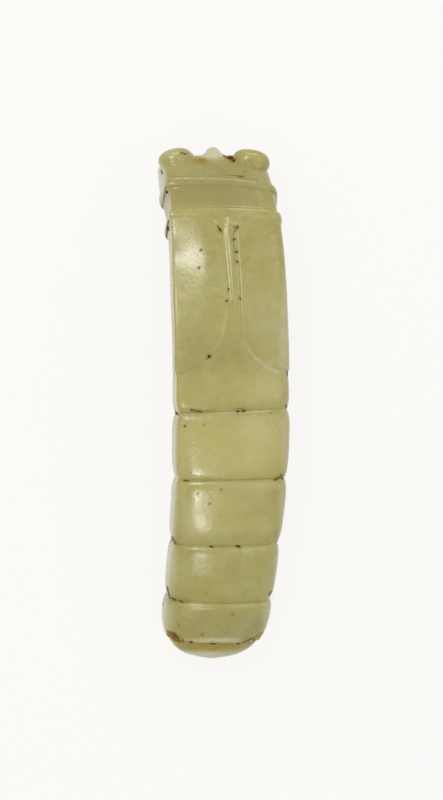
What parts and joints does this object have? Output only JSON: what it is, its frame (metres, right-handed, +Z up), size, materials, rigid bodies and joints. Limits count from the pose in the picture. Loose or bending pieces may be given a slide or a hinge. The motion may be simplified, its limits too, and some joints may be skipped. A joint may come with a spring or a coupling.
{
  "type": "insect pendant",
  "caption": "Carved jade pendant in the form of an insect, with raised eyes, hooped collar, folded wings, ringed abdomen and a bore across the tail.",
  "frame": {"origin": "middle of the stone's bounding box at the level that its underside rests on", "axes": "+Y along the stone towards the head, +Z up out of the carved back, +X to the right seen from above with the head away"},
  "size_m": [0.0204, 0.0802, 0.0169],
  "materials": {
    "nephrite": "polished, slightly translucent olive green nephrite with russet stains",
    "burial_crust": "matt, crumbly dark brown burial earth"
  },
  "bodies": {
    "root": {"jade_body": "nephrite", "eye_crust": "burial_crust", "collar_crust": "burial_crust", "wing_slot_crust": "burial_crust", "wing_tip_crust": "burial_crust", "first_groove_crust": "burial_crust", "second_groove_crust": "burial_crust", "third_groove_crust": "burial_crust", "fourth_groove_crust": "burial_crust", "tail_rim_crust": "burial_crust"}
  },
  "joints": []
}
